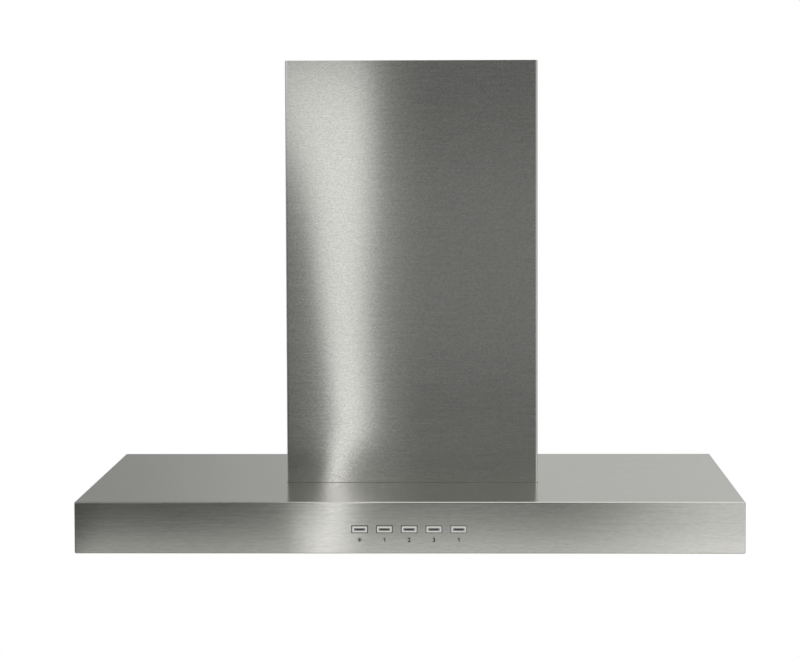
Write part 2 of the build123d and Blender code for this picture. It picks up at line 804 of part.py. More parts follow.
def damper_flap():
    """The right-hand flap: half a disc with its rod along the straight edge."""
    low = flap_z - flap_thickness / 2
    top = low + flap_thickness
    front = outlet_y - flap_radius
    back = outlet_y + flap_radius
    plate = upright(flap_radius, 0, outlet_y, low, top)
    plate &= block(flap_spread, flap_radius, front, back, low, top)
    clear_x = bridge_width / 2 + post_cover
    clear_y = spigot_bore - post_depth - flap_gap
    plate -= block(0, clear_x, front - past, outlet_y - clear_y, 0, top + past)
    plate -= block(0, clear_x, outlet_y + clear_y, back + past, 0, top + past)
    start = (flap_spread, front + seat_gap, flap_z)
    return plate + bar(flap_rod_radius, start, (flap_spread, back - seat_gap, flap_z))


# ---- chimney ----
def lower_chimney():
    cover = chimney_wrap(half_chimney, chimney_front, wall_y, canopy_height, chimney_top)
    back = chimney_in_y + chimney_tab
    front = chimney_front + chimney_sheet / 2
    cover += block(-front_tab_half, front_tab_half, front, back, canopy_height, tab_top)
    far = chimney_in_x + chimney_sheet / 2
    near = chimney_in_x - chimney_tab
    for y in side_tab_ys:
        front = y - side_tab_half
        tab = block(near, far, front, y + side_tab_half, canopy_height, tab_top)
        cover += tab + tab.mirror(Plane.YZ)
    return cover


def chimney_screws():
    """Screws that hold the lower cover's tabs down on the canopy."""
    x = front_tab_half - head_across
    places = [(side * x, chimney_in_y + chimney_tab / 2, tab_top) for side in (-1, 1)]
    x = chimney_in_x - chimney_tab / 2
    places += [(side * x, y, tab_top) for side in (-1, 1) for y in side_tab_ys]
    return group([hex_head(place, (0, 0, 1)) for place in places])


def upper_chimney():
    cover = chimney_wrap(upper_half, upper_front, upper_back, upper_bottom, upper_top)
    middle = (upper_front + upper_back) / 2
    front = middle - vent_length / 2
    reach = upper_half + past
    for row in range(vent_count):
        top = upper_top - vent_drop - row * vent_pitch
        cover -= block(-reach, reach, front, front + vent_length, top - vent_height, top)
    return cover


def upper_bracket():
    """A strip flat on the wall, stepped forward past the cover's returns, with an ear at each end."""
    step_x = upper_half - chimney_return - bracket_step
    step_in = step_x - bracket_sheet
    ear_x = upper_half - chimney_sheet
    wing_back = upper_back - chimney_sheet
    wing_front = wing_back - bracket_sheet
    low = bracket_top - bracket_height
    end = block(step_in, step_x, wing_front, wall_y, low, bracket_top)
    end += block(step_in, ear_x, wing_front, wing_back, low, bracket_top)
    end += block(ear_x - bracket_sheet, ear_x, wing_back - bracket_ear, wing_back, low, bracket_top)
    corner = end.edges().filter_by(Axis.Z).sort_by(lambda edge: edge.center().X + edge.center().Y)[-1]
    end = fillet(corner, chimney_bend + seat_gap)
    bracket = block(-step_x, step_x, wall_y - bracket_sheet, wall_y, low, bracket_top)
    bracket += end + end.mirror(Plane.YZ)
    for x in (-bracket_hole_spacing / 2, bracket_hole_spacing / 2):
        start = (x, wall_y - past, bracket_z)
        bracket -= bar(bracket_hole_radius, start, (x, wall_y + past, bracket_z))
    return bracket


def bracket_screws():
    """Screws through the bracket's ears into the upper cover's sides."""
    x = upper_half - chimney_sheet - bracket_sheet
    y = upper_back - chimney_sheet - bracket_ear / 2
    return group([hex_head((side * x, y, bracket_z), (-side, 0, 0)) for side in (-1, 1)])


def chimney_glides():
    """Thin nylon pads near the upper cover's foot, which steady it inside the lower cover."""
    thick = slide_gap - seat_gap
    low = upper_bottom + glide_inset / 2
    top = low + glide_length
    pads = []
    for y in (upper_front + glide_inset, upper_back - glide_inset - glide_width):
        pads.append(block(upper_half, upper_half + thick, y, y + glide_width, low, top))
    x = upper_half - glide_inset
    pads.append(block(x - glide_width, x, upper_front - thick, upper_front, low, top))
    return group(pads + [pad.mirror(Plane.YZ) for pad in pads])


# ---- electrical pieces ----
def junction_box():
    box = block(junction_left, junction_right, junction_front, shelf_y, casing_top, junction_top)
    left = junction_left + junction_wall
    right = junction_right - junction_wall
    front = junction_front + junction_wall
    back = shelf_y - junction_wall
    return box - block(left, right, front, back, casing_top + junction_wall, junction_top + past)


def junction_lid():
    lid = block(junction_left, junction_right, junction_front, shelf_y, junction_top, gland_seat)
    lid = chamfer(lid.edges().group_by(Axis.Z)[-1], junction_wall / 2)
    return lid - upright(gland_neck + hole_gap, gland_x, gland_y, 0, gland_seat + past)


def cable_gland():
    """A neck through the lid, a hexagon on it and a domed nut."""
    top = gland_seat + gland_height
    hexagon_top = gland_seat + gland_nut
    outline = [
        (gland_bore, gland_seat - gland_neck_length),
        (gland_neck, gland_seat - gland_neck_length),
        (gland_neck, hexagon_top),
        (gland_across / 2, hexagon_top),
        (gland_across / 2, top - gland_nut),
        (gland_neck, top),
        (gland_bore, top),
    ]
    hexagon = Pos(gland_x, gland_y, gland_seat) * RegularPolygon(gland_across / 2, 6, major_radius=False)
    ring = extrude(hexagon, gland_nut) - upright(gland_bore, gland_x, gland_y, 0, top)
    return turned(outline, gland_x, gland_y) + ring


def capacitor():
    y = shelf_y - capacitor_radius
    return upright(capacitor_radius, capacitor_x, y, casing_top, casing_top + capacitor_height)


def lamp_transformer():
    left = transformer_right - transformer_length
    front = lamp_y - transformer_width / 2
    back = lamp_y + transformer_width / 2
    low = canopy_ceiling - transformer_height
    foot = transformer_foot
    body = block(left + foot, transformer_right - foot, front, back, low, canopy_ceiling)
    low = canopy_ceiling - 2 * canopy_sheet
    return body + block(left, transformer_right, front, back, low, canopy_ceiling)


# ---- all nodes ----
nodes = {
    "canopy_shell": canopy_shell(),
    "canopy_back": canopy_back(),
    "underside_rim": underside_rim(),
    "filter_pan": filter_pan(),
    "lamp_bulbs": group([lamp_bulb(-lamp_x), lamp_bulb(lamp_x)]),
    "switch_block": switch_block(),
    "switch_nuts": switch_nuts(),
    "lower_chimney": lower_chimney(),
    "chimney_screws": chimney_screws(),
    "upper_chimney": upper_chimney(),
    "upper_bracket": upper_bracket(),
    "bracket_screws": bracket_screws(),
    "chimney_glides": chimney_glides(),
    "motor_casing": motor_casing(),
    "casing_screws": casing_screws(),
    "scroll_wrap": scroll_wrap(),
    "scroll_side_right": scroll_side(),
    "scroll_side_left": scroll_side().mirror(Plane.YZ),
    "impeller": impeller(),
    "motor_shaft": motor_shaft(),
    "motor_body": motor_body(),
    "motor_bearings": motor_bearings(),
    "motor_bracket": motor_bracket(),
    "motor_grommets": motor_grommets(),
    "outlet_collar": outlet_collar(),
    "damper_flap_right": damper_flap(),
    "damper_flap_left": damper_flap().mirror(Plane.YZ),
    "junction_box": junction_box(),
    "junction_lid": junction_lid(),
    "cable_gland": cable_gland(),
    "capacitor": capacitor(),
    "lamp_transformer": lamp_transformer(),
}
for name, x in zip(filter_names, filter_xs):
    nodes[f"filter_{name}_frame"] = filter_frame(x)
    nodes[f"filter_{name}_baffles"] = filter_baffles(x)
    nodes[f"filter_{name}_clips"] = filter_clips(x)
    nodes[f"filter_{name}_knob"] = filter_knob(x)
for name, x in (("left", -lamp_x), ("right", lamp_x)):
    nodes[f"lamp_{name}_bezel"] = lamp_bezel(x)
    nodes[f"lamp_{name}_lens"] = lamp_lens(x)
    nodes[f"lamp_{name}_can"] = lamp_can(x)
for name, x in zip(button_names, button_xs):
    nodes[f"button_{name}"] = button(x)
    nodes[f"button_{name}_insert"] = button_insert(x)

if __name__ == "__main__":
    os.makedirs("parts", exist_ok=True)
    for name, shape in nodes.items():
        export_step(shape, f"parts/{name}.step")
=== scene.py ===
"""Looks of a wall-hung chimney range hood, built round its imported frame."""

import math

import bmesh
import bpy
from mathutils import Euler, Matrix, Vector


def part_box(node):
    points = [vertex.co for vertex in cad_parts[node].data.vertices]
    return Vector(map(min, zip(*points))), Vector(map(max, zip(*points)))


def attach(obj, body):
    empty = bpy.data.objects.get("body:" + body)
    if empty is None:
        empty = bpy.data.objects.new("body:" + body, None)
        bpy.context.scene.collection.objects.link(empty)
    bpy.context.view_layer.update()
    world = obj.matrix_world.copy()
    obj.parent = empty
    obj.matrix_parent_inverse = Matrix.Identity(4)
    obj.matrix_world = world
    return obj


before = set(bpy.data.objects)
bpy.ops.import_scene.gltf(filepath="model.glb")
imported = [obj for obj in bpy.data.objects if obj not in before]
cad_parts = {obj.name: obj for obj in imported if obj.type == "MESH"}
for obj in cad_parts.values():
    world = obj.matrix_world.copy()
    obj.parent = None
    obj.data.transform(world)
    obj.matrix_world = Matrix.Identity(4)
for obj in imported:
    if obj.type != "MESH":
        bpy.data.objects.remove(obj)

bl_info = {
    "name": "Chimney range hood",
    "version": (1, 0, 0),
    "blender": (4, 5, 0),
    "location": "3D View > Sidebar > Hood",
    "description": "Finishes, markings and studio of a wall-hung chimney range hood",
    "category": "Object",
}

FRONT_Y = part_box("canopy_shell")[0].y
CHIMNEY_LOW, CHIMNEY_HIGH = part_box("lower_chimney")
BUTTONS = ("light", "speed_1", "speed_2", "speed_3", "power")
FIGURES = ("sun", "1", "2", "3", "1")
SIDES = ("left", "right")
FILTERS = ("left", "centre", "right")
WHITE = (1.0, 1.0, 1.0, 1.0)
FACE_FRONT = Matrix.Rotation(math.radians(90), 3, "X")

# Scales of the sheet's pattern along the brushing and across it, per metre.
SHORT_DASH = (380.0, 650.0)
LONG_DASH = (130.0, 430.0)
STREAK = (14.0, 420.0)
FINE_LINE = (70.0, 2600.0)
BAND = (7.0, 75.0)


# ---- shader building ----
class Signal:
    """A socket that adds Math nodes when it is used in an expression."""

    def __init__(self, finish, socket):
        self.finish = finish
        self.socket = socket

    def _math(self, operation, *values):
        return self.finish.node("Math", {"operation": operation}, *values)

    def __add__(self, other):
        return self._math("ADD", self, other)

    __radd__ = __add__

    def __sub__(self, other):
        return self._math("SUBTRACT", self, other)

    def __rsub__(self, other):
        return self._math("SUBTRACT", other, self)

    def __mul__(self, other):
        return self._math("MULTIPLY", self, other)

    __rmul__ = __mul__

    def __truediv__(self, other):
        return self._math("DIVIDE", self, other)

    def __gt__(self, other):
        return self._math("GREATER_THAN", self, other)

    def __abs__(self):
        return self._math("ABSOLUTE", self)

    def exp(self):
        return self._math("EXPONENT", self)

    def sine(self):
        return self._math("SINE", self)

    def root(self):
        return self._math("SQRT", self)

    def larger(self, other):
        return self._math("MAXIMUM", self, other)

    def folded(self, width):
        """Runs up and down between 0 and width."""
        return self._math("PINGPONG", self, width)

    def smooth(self, low, high):
        """Rises from 0 at low to 1 at high."""
        settings = {"interpolation_type": "SMOOTHSTEP"}
        return self.finish.node("MapRange", settings, self, low, high, 0.0, 1.0, output="Result")

    def near(self, centre, inner, outer):
        """1 up to inner from the centre, falling to 0 at outer."""
        return 1.0 - abs(self - centre).smooth(inner, outer)


class Finish:
    """A material, or the world's light, that is built node by node."""

    def __init__(self, owner):
        self.material = bpy.data.materials.new(owner) if isinstance(owner, str) else owner
        self.material.use_nodes = True
        self.tree = self.material.node_tree
        self.tree.nodes.clear()
        self.position = None

    def node(self, kind, settings=None, *values, output=0, **named):
        """Adds one node: its settings first, then its inputs in order or by name."""
        made = self.tree.nodes.new("ShaderNode" + kind)
        for key, value in (settings or {}).items():
            setattr(made, key, value)
        pairs = list(zip([s for s in made.inputs if s.enabled], values))
        pairs += [(made.inputs[key.replace("_", " ")], value) for key, value in named.items()]
        for socket, value in pairs:
            if isinstance(value, Signal):
                self.tree.links.new(value.socket, socket)
            else:
                socket.default_value = value
        if not made.outputs:
            return None
        enabled = [s for s in made.outputs if s.enabled]
        return Signal(self, made.outputs[output] if isinstance(output, str) else enabled[output])

    def place(self):
        """The point on the piece, in metres."""
        if self.position is None:
            self.position = self.node("TexCoord", output="Object")
        return self.position

    def axes(self, vector=None):
        """X, Y and Z of a vector, as three signals."""
        split = self.node("SeparateXYZ", None, vector or self.place()).socket.node
        return [Signal(self, socket) for socket in split.outputs]

    def stretched(self, x, y, z):
        """The place multiplied axis by axis."""
        return self.node("VectorMath", {"operation": "MULTIPLY"}, self.place(), (x, y, z))

    def noise(self, scale, detail, vector=None, roughness=0.5):
        """Cloudy noise from 0 to 1."""
        return self.node(
            "TexNoise", {"noise_dimensions": "3D"},
            Vector=vector or self.place(), Scale=scale, Detail=detail, Roughness=roughness,
        )

    def lines(self, along, across):
        """Level lines that run along X."""
        return self.noise(1.0, 2.0, self.stretched(along, across, across))

    def strokes(self, on_ends, along, across, detail=1.0, roughness=0.5):
        """Brushing round 0 that runs along X, and along Y on the sheet's two ends."""
        on_x = self.noise(1.0, detail, self.stretched(along, across, across), roughness)
        on_y = self.noise(1.0, detail, self.stretched(across, along, across), roughness)
        return on_x + on_ends * (on_y - on_x) - 0.5

    def blend(self, factor, *colours):
        """Mixes two colours."""
        first, second = [c if isinstance(c, Signal) else (*c[:3], 1.0) for c in colours]
        settings = {"data_type": "RGBA", "blend_type": "MIX"}
        return self.node("Mix", settings, factor, first, second)

    def bump(self, height, distance, normal=None):
        """The normal of a surface raised by the height times the distance, in metres."""
        named = {"Height": height, "Distance": distance}
        if normal is not None:
            named["Normal"] = normal
        return self.node("Bump", None, **named)

    def shader(self, colour, roughness, metallic=0.0, normal=None, **constants):
        """A Principled shader."""
        named = {"Base_Color": colour, "Roughness": roughness, "Metallic": metallic, **constants}
        if not isinstance(colour, Signal):
            named["Base_Color"] = (*colour[:3], 1.0)
        if normal is not None:
            named["Normal"] = normal
        return self.node("BsdfPrincipled", None, **named)

    def end(self, shader, kind="Material"):
        """Ends the material or world in a shader."""
        self.node("Output" + kind, None, Surface=shader)
        return self.material

    def surface(self, *values, **constants):
        """Ends the material in one Principled shader."""
        return self.end(self.shader(*values, **constants))


# ---- finishes ----
def shades(colour, darker, paler):
    """A darker and a paler colour to blend between."""
    return [c * darker for c in colour], [min(1.0, c * paler) for c in colour]


def brushed_steel(name, colour, roughness, depth, dash=SHORT_DASH, speckle=1.0, warp=None,
                  level=False):
    """Stainless sheet brushed along its length, with dashes, fine lines, streaks and smudges.

    Upright faces blur their reflections up and down only. With level, faces that lie flat blur
    them evenly. dash is the dashes' scale and speckle their strength.
    """
    f = Finish(name)
    facing = f.axes(f.node("TexCoord", output="Normal"))
    on_ends = abs(facing[0]) > 0.7
    flat = abs(facing[2]) > 0.7
    dashes = f.strokes(on_ends, *dash)
    streaks = f.strokes(on_ends, *STREAK, 2.0, 0.55)
    fine = f.strokes(on_ends, *FINE_LINE)
    cloud = f.noise(5.0, 3.0) - 0.5
    shade = dashes * (speckle * 0.65) + fine * 0.35 + streaks * 0.22 + cloud * 0.10
    # Faces that lie flat are streaked in wide bands and painted paler than upright faces; the paler
    # tone is a painted sheen.
    if level:
        bands = f.lines(*BAND) - 0.5
        shade = shade * (1.0 - flat * 0.55) + flat * (bands * 0.16 + 0.2)
    tone = f.blend(shade + 0.5, *shades(colour, 0.65, 1.35))
    rough = roughness + streaks * 0.05 + cloud * 0.03
    normal = f.bump(dashes * depth + streaks * (depth * 1.5), 1.0)
    if warp is not None:
        normal = f.bump(warp(f), 1.0, normal)
    brushed = f.shader(tone, rough, 1.0, normal, Anisotropic=0.85, Anisotropic_Rotation=0.25)
    if not level:
        return f.end(brushed)
    even = f.shader(tone, rough, 1.0, normal)
    return f.end(f.node("MixShader", None, flat, brushed, even))


def foot_warp(f):
    """The chimney's sheet bulges a little where its foot is held."""
    centre, width, height, top = -0.125, 0.065, 0.0020, 0.085
    x, _, z = f.axes()
    held = 1.0 - z.smooth(CHIMNEY_LOW.z, CHIMNEY_LOW.z + top)
    reach = (x - centre) / width
    bulge = (reach * reach * -1.0).exp() * height
    return held * bulge + f.noise(3.1, 1.0, f.stretched(1.0, 0.2, 0.7)) * 0.0006


def front_warp(f):
    """The canopy's sheet is a little uneven, as folded sheet is."""
    return f.noise(3.6, 1.0, f.stretched(1.0, 0.3, 0.6)) * 0.0006


def galvanised_steel(name, colour, roughness):
    """Zinc-coated sheet with faint crystals."""
    f = Finish(name)
    crystals = f.node(
        "TexVoronoi", {"feature": "F1"}, Vector=f.place(), Scale=150.0, output="Color"
    )
    tint = f.axes(crystals)[0]
    cloud = f.noise(14.0, 3.0)
    fine = f.noise(900.0, 2.0)
    tone = f.blend(tint * 0.7 + cloud * 0.3, *shades(colour, 0.82, 1.14))
    normal = f.bump(fine * 0.4 + tint * 0.6, 0.00004)
    return f.surface(tone, roughness + tint * 0.10 + (cloud - 0.5) * 0.1, 1.0, normal)


def moulded_plastic(name, colour, roughness, texture=0.00003):
    """Moulded plastic with a fine spark-eroded texture."""
    f = Finish(name)
    fine = f.noise(2200.0, 3.0)
    cloud = f.noise(22.0, 3.0)
    tone = f.blend(cloud, *shades(colour, 0.86, 1.14))
    rough = roughness + (cloud - 0.5) * 0.12 + (fine - 0.5) * 0.06
    return f.surface(tone, rough, 0.0, f.bump(fine, texture))


def plated_metal(name, colour, roughness, grain=0.00001):
    """Satin plating with very fine level lines."""
    f = Finish(name)
    lines = f.lines(120.0, 3600.0)
    cloud = f.noise(60.0, 2.0)
    tone = f.blend(lines * 0.5 + cloud * 0.5, *shades(colour, 0.9, 1.08))
    return f.surface(tone, roughness + (cloud - 0.5) * 0.08, 1.0, f.bump(lines, grain))


def painted_metal(name, colour, roughness):
    """Stove enamel with a slight orange peel."""
    f = Finish(name)
    peel = f.noise(420.0, 2.0)
    cloud = f.noise(30.0, 3.0)
    tone = f.blend(cloud, *shades(colour, 0.8, 1.25))
    return f.surface(tone, roughness + (cloud - 0.5) * 0.15, 0.0, f.bump(peel, 0.00006))


def ringed_glass(name, centre):
    """Lamp glass with moulded rings round its centre."""
    f = Finish(name)
    x, y, _ = f.axes()
    reach = ((x - centre.x) * (x - centre.x) + (y - centre.y) * (y - centre.y)).root()
    rings = (reach * 2600.0).sine()
    fine = f.noise(1600.0, 2.0)
    normal = f.bump(rings * 0.5 + fine * 0.1, 0.00018)
    glass = (0.93, 0.95, 0.96)
    return f.surface(glass, 0.22, 0.0, normal, Transmission_Weight=0.85, IOR=1.5)


def opal_glass(name):
    """The white bulb of a lamp, unlit."""
    f = Finish(name)
    cloud = f.noise(90.0, 2.0)
    tone = f.blend(cloud, (0.86, 0.85, 0.80), (0.93, 0.92, 0.88))
    return f.surface(tone, 0.16 + cloud * 0.05, 0.0, Coat_Weight=0.4)


def printed_ink(name, colour):
    """Screen-printed ink, a little worn."""
    f = Finish(name)
    worn = f.noise(1500.0, 3.0)
    tone = f.blend(worn, colour, [c + 0.03 for c in colour])
    return f.surface(tone, 0.6 + (worn - 0.5) * 0.2, Specular_IOR_Level=0.2)


def button_plating_painted_light(name):
    """Satin plating, painted dark in the groove round the insert as painted shade and pale on the
    rim round the groove as a painted highlight.
    """
    groove_shade, rim_highlight = (0.20, 0.20, 0.19), (0.76, 0.76, 0.73)
    f = Finish(name)
    low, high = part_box("button_light")
    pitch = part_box("button_speed_1")[0].x - low.x
    x, _, z = f.axes()
    # The rim, which takes in the groove's ends, gets a painted highlight; the groove inside it gets
    # painted shade.
    outside = x.folded(pitch / 2).smooth(0.0074, 0.0080)
    above = abs(z - (low.z + high.z) / 2).smooth(0.0017, 0.0021)
    rim = outside + above - outside * above
    lines = f.lines(140.0, 3600.0)
    tone = f.blend(rim * 0.8 + lines * 0.3, groove_shade, rim_highlight)
    rough = 0.42 - rim * 0.08 + (lines - 0.5) * 0.1
    return f.surface(tone, rough, 0.45, f.bump(lines, 0.00001))


def gap_shadow_plastic(name):
    """Dark plastic for the rings round the buttons, a painted shadow of the gaps, painted paler
    from the light button to the power button as that shade lightens.
    """
    dark, pale = (0.025, 0.025, 0.025), (0.15, 0.15, 0.145)
    f = Finish(name)
    fine = f.noise(1800.0, 2.0) - 0.5
    across = f.axes()[0].smooth(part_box("button_light")[0].x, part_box("button_power")[1].x)
    tone = f.blend(across + fine * 0.2, dark, pale)
    return f.surface(tone, 0.42 + fine * 0.1)


# ---- pieces ----
def link(name, content):
    """Puts a mesh, lamp or camera into the scene as an object."""
    piece = bpy.data.objects.new(name, content)
    bpy.context.scene.collection.objects.link(piece)
    return piece


def new_piece(name, mesh, material, body):
    """Links a finished mesh as a piece that rides on a body."""
    piece = link(name, mesh)
    piece.data.materials.append(material)
    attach(piece, body)


def dress(material, *names):
    """Gives CAD nodes a better material."""
    for name in names:
        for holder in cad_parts[name].material_slots:
            holder.material = material


def finished(made, name):
    """The mesh of a bmesh."""
    mesh = bpy.data.meshes.new(name)
    made.to_mesh(mesh)
    made.free()
    return mesh


def turned_out(made, name):
    """The mesh of a closed bmesh, with its faces pointing outwards."""
    bmesh.ops.recalc_face_normals(made, faces=made.faces[:])
    return finished(made, name)


def printed(made, thickness, name):
    """A flat figure in the XY plane, made thickness thick and turned to face -Y."""
    made.normal_update()
    bmesh.ops.solidify(made, geom=made.faces[:], thickness=thickness)
    bmesh.ops.rotate(made, verts=made.verts[:], matrix=FACE_FRONT)
    return turned_out(made, name)


def text_mark(text, height, thickness):
    """A printed character, centred on the origin."""
    capital_height = 0.7
    curve = bpy.data.curves.new("text", "FONT")
    curve.body = text
    curve.size = height / capital_height
    curve.align_x = "CENTER"
    curve.align_y = "CENTER"
    curve.resolution_u = 4
    curve.offset = height * 0.05
    holder = link("text", curve)
    bpy.context.view_layer.update()
    graph = bpy.context.evaluated_depsgraph_get()
    outline = bpy.data.meshes.new_from_object(holder.evaluated_get(graph))
    bpy.data.objects.remove(holder)
    made = bmesh.new()
    made.from_mesh(outline)
    bpy.data.meshes.remove(outline)
    bmesh.ops.remove_doubles(made, verts=made.verts[:], dist=1e-6)
    xs = [v.co.x for v in made.verts]
    ys = [v.co.y for v in made.verts]
    middle = Vector(((min(xs) + max(xs)) / 2, (min(ys) + max(ys)) / 2, 0))
    bmesh.ops.translate(made, verts=made.verts[:], vec=-middle)
    return printed(made, thickness, "text_mark")


def one_mark(height, width, thickness):
    """A figure 1 with its flag; the stem's left side is on the origin."""
    half = height / 2
    outline = [
        (0, -half), (width, -half), (width, half), (width * 0.25, half),
        (-width * 1.5, half - width * 1.5), (-width, half - width * 2.4), (0, half - width * 1.5),
    ]
    made = bmesh.new()
    made.faces.new([made.verts.new((x, y, 0)) for x, y in outline])
    return printed(made, thickness, "one_mark")


def sun_mark(radius, reach, width, thickness):
    """A disc with eight rays, centred on the origin."""
    rays = 8
    made = bmesh.new()
    bmesh.ops.create_circle(made, cap_ends=True, radius=radius, segments=24)
    for i in range(rays):
        ray = bmesh.ops.create_grid(made, x_segments=1, y_segments=1, size=0.5)["verts"]
        bmesh.ops.scale(made, verts=ray, vec=(width, reach, 1))
        bmesh.ops.translate(made, verts=ray, vec=(0, radius + reach * 0.85, 0))
        turn = Matrix.Rotation(i * math.tau / rays, 3, "Z")
        bmesh.ops.rotate(made, verts=ray, matrix=turn)
    return printed(made, thickness, "sun_mark")


def gap_shadow_ring(half_x, half_z, width, depth):
    """A flat rectangular ring round a button, facing -Y, with the outer half sizes given. It stands
    for the shadow in the gap round the button.
    """
    made = bmesh.new()
    bmesh.ops.create_grid(made, x_segments=1, y_segments=1, size=1.0)
    bmesh.ops.scale(made, verts=made.verts[:], vec=(half_x, half_z, 1.0))
    bmesh.ops.rotate(made, verts=made.verts[:], matrix=FACE_FRONT)
    ring = bmesh.ops.inset_region(
        made, faces=made.faces[:], thickness=width, use_even_offset=True, use_boundary=True
    )["faces"]
    middle = [face for face in made.faces if face not in ring]
    bmesh.ops.delete(made, geom=middle, context="FACES")
    bmesh.ops.solidify(made, geom=made.faces[:], thickness=depth)
    return turned_out(made, "gap_shadow_ring")


def put(mesh, x, y, z):
    """Moves a mesh's points, so that its object can stay at the origin."""
    mesh.transform(Matrix.Translation((x, y, z)))


# ---- settings ----
class HoodFinishes(bpy.types.PropertyGroup):
    steel: bpy.props.FloatVectorProperty(
        name="Canopy steel", description="Colour of the canopy's brushed sheet", subtype="COLOR",
        size=3, min=0, max=1, default=(0.737, 0.74, 0.685),
    )
    cover: bpy.props.FloatVectorProperty(
        name="Chimney steel", description="Colour of the chimney's brushed sheet", subtype="COLOR",
        size=3, min=0, max=1, default=(0.738, 0.736, 0.70),
    )
    sheen: bpy.props.FloatProperty(
        name="Roughness", description="Blur of the brushed sheet's reflections",
        default=0.18, min=0.02, max=0.6,
    )
    grain: bpy.props.FloatProperty(
        name="Grain depth", description="Depth of the brushed lines", unit="LENGTH",
        default=0.000006, min=0.0, max=0.0002, precision=6,
    )
    # Height of the dark strip at the chimney's foot, a painted shadow line in the seam.
    shadowline: bpy.props.FloatProperty(
        name="Foot seal", description="Height of the dark strip at the chimney's foot",
        unit="LENGTH", default=0.0003, min=0.0001, max=0.003, precision=4,
    )


class HoodMarks(bpy.types.PropertyGroup):
    height: bpy.props.FloatProperty(
        name="Height", description="Height of the printed figures", unit="LENGTH",
        default=0.0056, min=0.002, max=0.01,
    )
    drop: bpy.props.FloatProperty(
        name="Drop", description="From the buttons' middle down to the figures' middle",
        unit="LENGTH", default=0.0142, min=0.008, max=0.02,
    )
    ink: bpy.props.FloatVectorProperty(
        name="Ink", description="Colour of the printed figures", subtype="COLOR",
        size=3, min=0, max=1, default=(0.02, 0.02, 0.02),
    )


class HoodStudio(bpy.types.PropertyGroup):
    field: bpy.props.FloatProperty(
        name="Dark card", description="Brightness of the card that the chimney's front mirrors",
        default=0.115, min=0.0, max=2.0,
    )
    window: bpy.props.FloatProperty(
        name="Soft box", description="Brightness of the tall soft box in front",
        default=0.95, min=0.0, max=4.0,
    )
    floor: bpy.props.FloatVectorProperty(
        name="Floor", description="Colour of the floor", subtype="COLOR",
        size=3, min=0, max=1, default=(0.90, 0.90, 0.90),
    )
    ambient: bpy.props.FloatProperty(
        name="Soft light", description="Strength of the even light from all round",
        default=0.80, min=0.0, max=2.0,
    )
    lens: bpy.props.FloatProperty(
        name="Lens", description="The camera's focal length in millimetres",
        default=110.6, min=20, max=300,
    )


# ---- operators ----
class HOOD_OT_sheets(bpy.types.Operator):
    """Brushed sheet: the canopy, the recessed panel and the chimney"""

    bl_idname = "hood.sheets"
    bl_label = "Brushed sheets"

    def execute(self, context):
        s = context.scene.hood_finishes
        canopy = brushed_steel(
            "brushed_canopy", s.steel, s.sheen, s.grain, LONG_DASH, 0.36, front_warp, True
        )
        chimney = brushed_steel(
            "brushed_chimney", s.cover, s.sheen, s.grain, speckle=1.15, warp=foot_warp
        )
        panel = brushed_steel(
            "brushed_panel", s.steel, s.sheen + 0.04, s.grain, LONG_DASH, 0.8, level=True
        )
        dress(canopy, "canopy_shell")
        dress(chimney, "lower_chimney", "upper_chimney")
        dress(panel, "underside_rim", "filter_pan")
        return {"FINISHED"}


class HOOD_OT_buttons(bpy.types.Operator):
    """Push buttons, their dark inserts, dark rings of painted shadow in the gaps round them and the
    block behind them
    """

    bl_idname = "hood.buttons"
    bl_label = "Push buttons"

    def execute(self, context):
        half_x, half_z = 0.010, 0.004  # of the cap
        gap, width, depth, proud = 0.0002, 0.0010, 0.00012, 0.0001  # of the ring round it
        # The dark ring round each cap is a painted shadow of the gap between the cap and the
        # canopy.
        gap_shade = gap_shadow_plastic("gap_shadow_plastic")
        for name in BUTTONS:
            low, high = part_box(f"button_{name}_insert")
            mesh = gap_shadow_ring(half_x + gap + width, half_z + gap + width, width, depth)
            put(mesh, (low.x + high.x) / 2, FRONT_Y - proud, (low.z + high.z) / 2)
            new_piece(f"surround_{name}", mesh, gap_shade, "hood")
        cap = button_plating_painted_light("button_plating_painted_light")
        insert = moulded_plastic("button_insert", (0.035, 0.035, 0.036), 0.30, 0.00001)
        dress(cap, *[f"button_{name}" for name in BUTTONS])
        dress(insert, *[f"button_{name}_insert" for name in BUTTONS])
        dress(moulded_plastic("switch_plastic", (0.03, 0.03, 0.032), 0.5), "switch_block")
        return {"FINISHED"}


class HOOD_OT_foot_shadowline(bpy.types.Operator):
    """A thin dark strip round the chimney's foot, a painted shadow line in the seam between chimney
    and canopy
    """

    bl_idname = "hood.seal"
    bl_label = "Foot seal"

    def execute(self, context):
        proud, inside = 0.0004, 0.0003
        back = CHIMNEY_HIGH.y
        x, front = CHIMNEY_HIGH.x + proud, CHIMNEY_LOW.y - proud
        inner_x, inner_front = CHIMNEY_HIGH.x - inside, CHIMNEY_LOW.y + inside
        outer = [(-x, back), (-x, front), (x, front), (x, back)]
        inner = [(inner_x, back), (inner_x, inner_front), (-inner_x, inner_front), (-inner_x, back)]
        made = bmesh.new()
        ring = [made.verts.new((a, b, CHIMNEY_LOW.z)) for a, b in outer + inner]
        base = [made.faces.new((ring[i], ring[i + 1], ring[6 - i], ring[7 - i])) for i in range(3)]
        raised = bmesh.ops.extrude_face_region(made, geom=base)["geom"]
        top = [item for item in raised if isinstance(item, bmesh.types.BMVert)]
        bmesh.ops.translate(made, verts=top, vec=(0, 0, context.scene.hood_finishes.shadowline))
        mesh = turned_out(made, "foot_shadowline")
        # The strip is dark: a painted shadow line where the chimney stands on the canopy.
        shadowline_dark = moulded_plastic("foot_shadowline_dark", (0.09, 0.09, 0.09), 0.6, 0.00001)
        new_piece("foot_shadowline", mesh, shadowline_dark, "hood")
        return {"FINISHED"}


